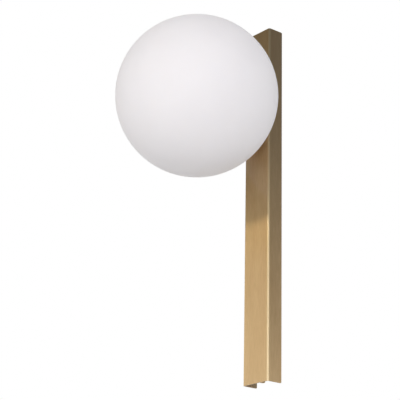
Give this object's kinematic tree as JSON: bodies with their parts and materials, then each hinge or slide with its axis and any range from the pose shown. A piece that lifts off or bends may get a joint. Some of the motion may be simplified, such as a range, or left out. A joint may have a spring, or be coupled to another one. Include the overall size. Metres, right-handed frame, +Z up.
{
  "type": "wall light",
  "caption": "Wall light: a tall, shallow brushed brass channel hung on a steel bracket, with an opal glass globe screwed into a collar near its top.",
  "frame": {"origin": "centre of the cable entry on the wall plane, halfway between the two wall-screw slots", "axes": "+X right as seen from the room, +Y into the wall, +Z up; the wall is the plane Y = 0"},
  "size_m": [0.2, 0.2208, 0.46],
  "materials": {
    "brushed_brass": "brushed and lacquered",
    "brass": "plain",
    "zinc_plated_steel": "bright zinc plate",
    "contact_steel": "nickel plate",
    "rubber": "matt",
    "opal_glass": "opal, satin etched",
    "ceramic": "fine matt",
    "white_plastic": "gloss",
    "frosted_plastic": "frosted",
    "board": "white solder mask",
    "phosphor": "yellow phosphor",
    "clear_plastic": "natural nylon"
  },
  "bodies": {
    "fixture": {"block_screw": "zinc_plated_steel", "bottom_tab": "brass", "cable_grommet": "rubber", "channel_housing": "brushed_brass", "collar_nut_lower": "zinc_plated_steel", "collar_nut_upper": "zinc_plated_steel", "collar_stud_lower": "brass", "collar_stud_upper": "brass", "collar_washer_lower": "zinc_plated_steel", "collar_washer_upper": "zinc_plated_steel", "earth_nut": "zinc_plated_steel", "earth_nut_washer": "zinc_plated_steel", "earth_screw": "brass", "earth_screw_washer": "zinc_plated_steel", "earth_stud": "brass", "hanger_peg": "zinc_plated_steel", "holder_bridge": "zinc_plated_steel", "lampholder_body": "ceramic", "lampholder_contact_left": "contact_steel", "lampholder_contact_right": "contact_steel", "lampholder_screw_lower": "zinc_plated_steel", "lampholder_screw_upper": "zinc_plated_steel", "terminal_block": "clear_plastic", "terminal_clamp_left": "brass", "terminal_clamp_right": "brass", "terminal_screw_left_lower": "zinc_plated_steel", "terminal_screw_left_upper": "zinc_plated_steel", "terminal_screw_right_lower": "zinc_plated_steel", "terminal_screw_right_upper": "zinc_plated_steel", "threaded_collar": "zinc_plated_steel", "threaded_insert": "zinc_plated_steel", "top_hanger_tab": "brass", "wall_bracket": "zinc_plated_steel"},
    "gasket": {"globe_gasket": "rubber"},
    "globe": {"glass_globe": "opal_glass"},
    "lamp": {"lamp_base": "white_plastic", "lamp_pin_left": "contact_steel", "lamp_pin_right": "contact_steel", "lamp_diffuser": "frosted_plastic", "lamp_board": "board", "lamp_chip_lower_1": "phosphor", "lamp_chip_lower_2": "phosphor", "lamp_chip_lower_3": "phosphor", "lamp_chip_lower_4": "phosphor", "lamp_chip_lower_5": "phosphor", "lamp_chip_lower_6": "phosphor", "lamp_chip_upper_1": "phosphor", "lamp_chip_upper_2": "phosphor", "lamp_chip_upper_3": "phosphor", "lamp_chip_upper_4": "phosphor", "lamp_chip_upper_5": "phosphor", "lamp_chip_upper_6": "phosphor"},
    "lock_washer": {"locking_washer": "brass"},
    "lock_screw": {"locking_screw": "brass"}
  },
  "joints": [
    {"name": "globe_travel", "type": "slide", "parent": "fixture", "child": "gasket", "axis": [0, -1, 0], "range_m": [0, 0.006]},
    {"name": "globe_turn", "type": "hinge", "parent": "gasket", "child": "globe", "pos_m": [0, -0.0125, 0.113], "axis": [0, -1, 0], "range_deg": [0, 720]},
    {"name": "lamp_pull", "type": "slide", "parent": "fixture", "child": "lamp", "axis": [0, -1, 0], "range_m": [0, 0.01]},
    {"name": "locking_screw_travel", "type": "slide", "parent": "fixture", "child": "lock_washer", "axis": [0, 0, -1], "range_m": [0, 0.0035]},
    {"name": "locking_screw_turn", "type": "hinge", "parent": "lock_washer", "child": "lock_screw", "pos_m": [0, -0.0105, -0.2275], "axis": [0, 0, -1], "range_deg": [0, 1800]}
  ],
  "couplings": [
    {"joint": "globe_travel", "follows": "globe_turn", "m_per_rad": 0.00047746},
    {"joint": "locking_screw_turn", "follows": "locking_screw_travel", "rad_per_m": 8976}
  ]
}
